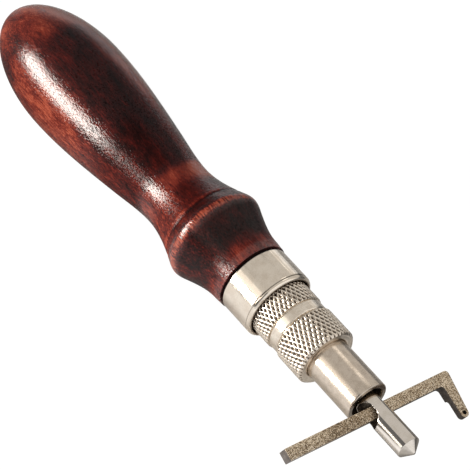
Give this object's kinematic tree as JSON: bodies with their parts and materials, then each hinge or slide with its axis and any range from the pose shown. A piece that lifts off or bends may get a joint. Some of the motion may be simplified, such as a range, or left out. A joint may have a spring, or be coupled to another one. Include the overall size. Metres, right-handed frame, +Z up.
{
  "type": "adjustable leather groover",
  "caption": "Hand tool with a turned wooden handle, knurled clamp nut and guide rod whose sliding cross bar scores a line beside a leather edge.",
  "frame": {"origin": "on the table, under the middle of the tool's box", "axes": "+X along the tool's axis towards its point, +Y along the groover bar towards its cutter, +Z up"},
  "size_m": [0.1624, 0.0496, 0.028],
  "materials": {
    "stained_wood": "dark red-brown stain under gloss lacquer",
    "polished_nickel": "bright nickel plate",
    "knurled_nickel": "nickel plate over a diamond knurl",
    "satin_nickel": "satin nickel plate",
    "ground_steel": "ground and polished",
    "cast_bar": "rough bronzed skin",
    "plain_steel": "bright drawn",
    "washer_brass": "stamped"
  },
  "bodies": {
    "grip": {"handle": "stained_wood", "ferrule": "polished_nickel", "chuck_body": "knurled_nickel", "guide_rod": "ground_steel", "rod_pin": "plain_steel"},
    "sleeve": {"push_sleeve": "satin_nickel"},
    "nut": {"clamp_nut": "knurled_nickel", "thrust_washer": "washer_brass", "retaining_ring": "plain_steel"},
    "bar": {"groover_bar": "cast_bar"}
  },
  "joints": [
    {"name": "sleeve_slide", "type": "slide", "parent": "grip", "child": "sleeve", "axis": [1, 0, 0], "range_m": [0, 0.0012]},
    {"name": "nut_turn", "type": "hinge", "parent": "sleeve", "child": "nut", "pos_m": [0.04505, 0.00245, 0.014], "axis": [1, 0, 0], "range_deg": [0, 432]},
    {"name": "bar_slide", "type": "slide", "parent": "grip", "child": "bar", "axis": [0, 1, 0], "range_m": [-0.0155, 0.0215]}
  ],
  "couplings": [
    {"joint": "sleeve_slide", "follows": "nut_turn", "m_per_rad": 0.00015915}
  ]
}
